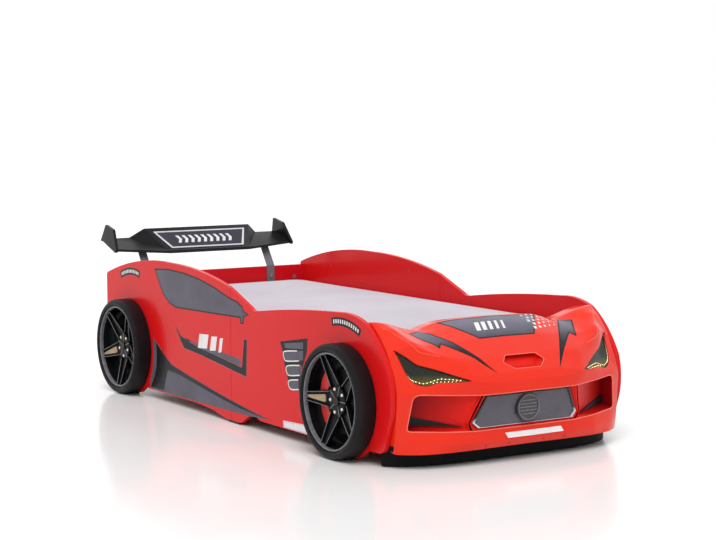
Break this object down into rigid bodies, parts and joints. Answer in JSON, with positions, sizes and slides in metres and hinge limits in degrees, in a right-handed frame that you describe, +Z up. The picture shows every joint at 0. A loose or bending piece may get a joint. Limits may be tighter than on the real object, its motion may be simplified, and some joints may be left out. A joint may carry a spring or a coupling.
{
  "type": "car bed for children",
  "caption": "Single bed shaped like a low sports car: shaped side boards with wheels, a moulded bonnet and bumper, a rear wing, slatted base and mattress.",
  "frame": {"origin": "on the floor, under the middle of the bed", "axes": "+Z up, the bonnet points to -Y, the pillow end and the wing are at +Y, the left side of the car is at +X"},
  "size_m": [1.088, 2.436, 0.658],
  "materials": {
    "red_board": "glossy lacquer on fibreboard",
    "red_moulding": "high gloss moulded sheet",
    "grey_film": "printed satin film",
    "black_film": "printed satin film",
    "white_plate": "plain glossy plate",
    "tyre_plastic": "moulded matt black",
    "rim_plastic": "glossy black",
    "nut_cream": "bright cream",
    "cap_black": "glossy black",
    "disc_grey": "dark moulded",
    "caliper_red": "glossy red",
    "zinc_steel": "zinc plated",
    "post_steel": "satin grey coat",
    "white_plastic": "moulded white",
    "headlight_lens": "smoked glossy lens",
    "black_plastic": "moulded black",
    "led_strip": "warm light diodes",
    "grille_mesh": "fine mesh print",
    "silver_trim": "satin silver",
    "badge_dark": "dark bronze gloss",
    "black_board": "matt black",
    "wing_plastic": "fine grained black",
    "wing_panel": "printed satin panel",
    "bare_wood": "planed softwood",
    "leg_plastic": "moulded black",
    "mattress_fabric": "quilted knitted cover"
  },
  "bodies": {
    "bed_frame": {"arched_badge_film": "black_film", "bare_plates": "white_plate", "bonnet_bumper_shell": "red_moulding", "bonnet_scoop_tray": "red_moulding", "brake_calipers": "caliper_red", "brake_discs": "disc_grey", "bumper_base_board": "black_board", "cam_bolts": "zinc_steel", "cam_cover_caps": "white_plastic", "cam_fittings": "zinc_steel", "centre_beam": "bare_wood", "centre_legs": "leg_plastic", "door_stroke_film": "black_film", "floor_glides": "white_plastic", "front_cross_board": "red_board", "grille_badge": "badge_dark", "grille_frame": "silver_trim", "grille_mesh_plate": "grille_mesh", "grille_tray": "red_moulding", "headboard": "red_board", "headlight_housings": "black_plastic", "headlight_led_strips": "led_strip", "headlight_lens_left": "headlight_lens", "headlight_lens_right": "headlight_lens", "intake_end_pieces": "black_plastic", "intake_tray_left": "red_moulding", "intake_tray_right": "red_moulding", "light_control_box": "black_plastic", "mattress_bearer_left": "bare_wood", "mattress_bearer_right": "bare_wood", "moulding_screws": "zinc_steel", "panel_screws": "zinc_steel", "post_bolts": "zinc_steel", "rim_front_left": "rim_plastic", "rim_front_right": "rim_plastic", "rim_rear_left": "rim_plastic", "rim_rear_right": "rim_plastic", "seam_plates": "zinc_steel", "side_panel_left_front": "red_board", "side_panel_left_rear": "red_board", "side_panel_right_front": "red_board", "side_panel_right_rear": "red_board", "skirt_film": "black_film", "slats": "bare_wood", "spoiler_base": "wing_plastic", "spoiler_face_frame": "silver_trim", "spoiler_face_panel": "wing_panel", "spoiler_post_left": "post_steel", "spoiler_post_right": "post_steel", "spoiler_shell": "wing_plastic", "toe_board": "black_board", "tyre_front_left": "tyre_plastic", "tyre_front_right": "tyre_plastic", "tyre_rear_left": "tyre_plastic", "tyre_rear_right": "tyre_plastic", "vent_film": "grey_film", "wheel_centre_caps": "cap_black", "wheel_nuts": "nut_cream", "window_film": "grey_film"},
    "mattress": {"mattress": "mattress_fabric"}
  },
  "joints": [
    {"name": "mattress_lift", "type": "slide", "parent": "bed_frame", "child": "mattress", "axis": [0, 0, 1], "range_m": [0, 0.35]}
  ]
}
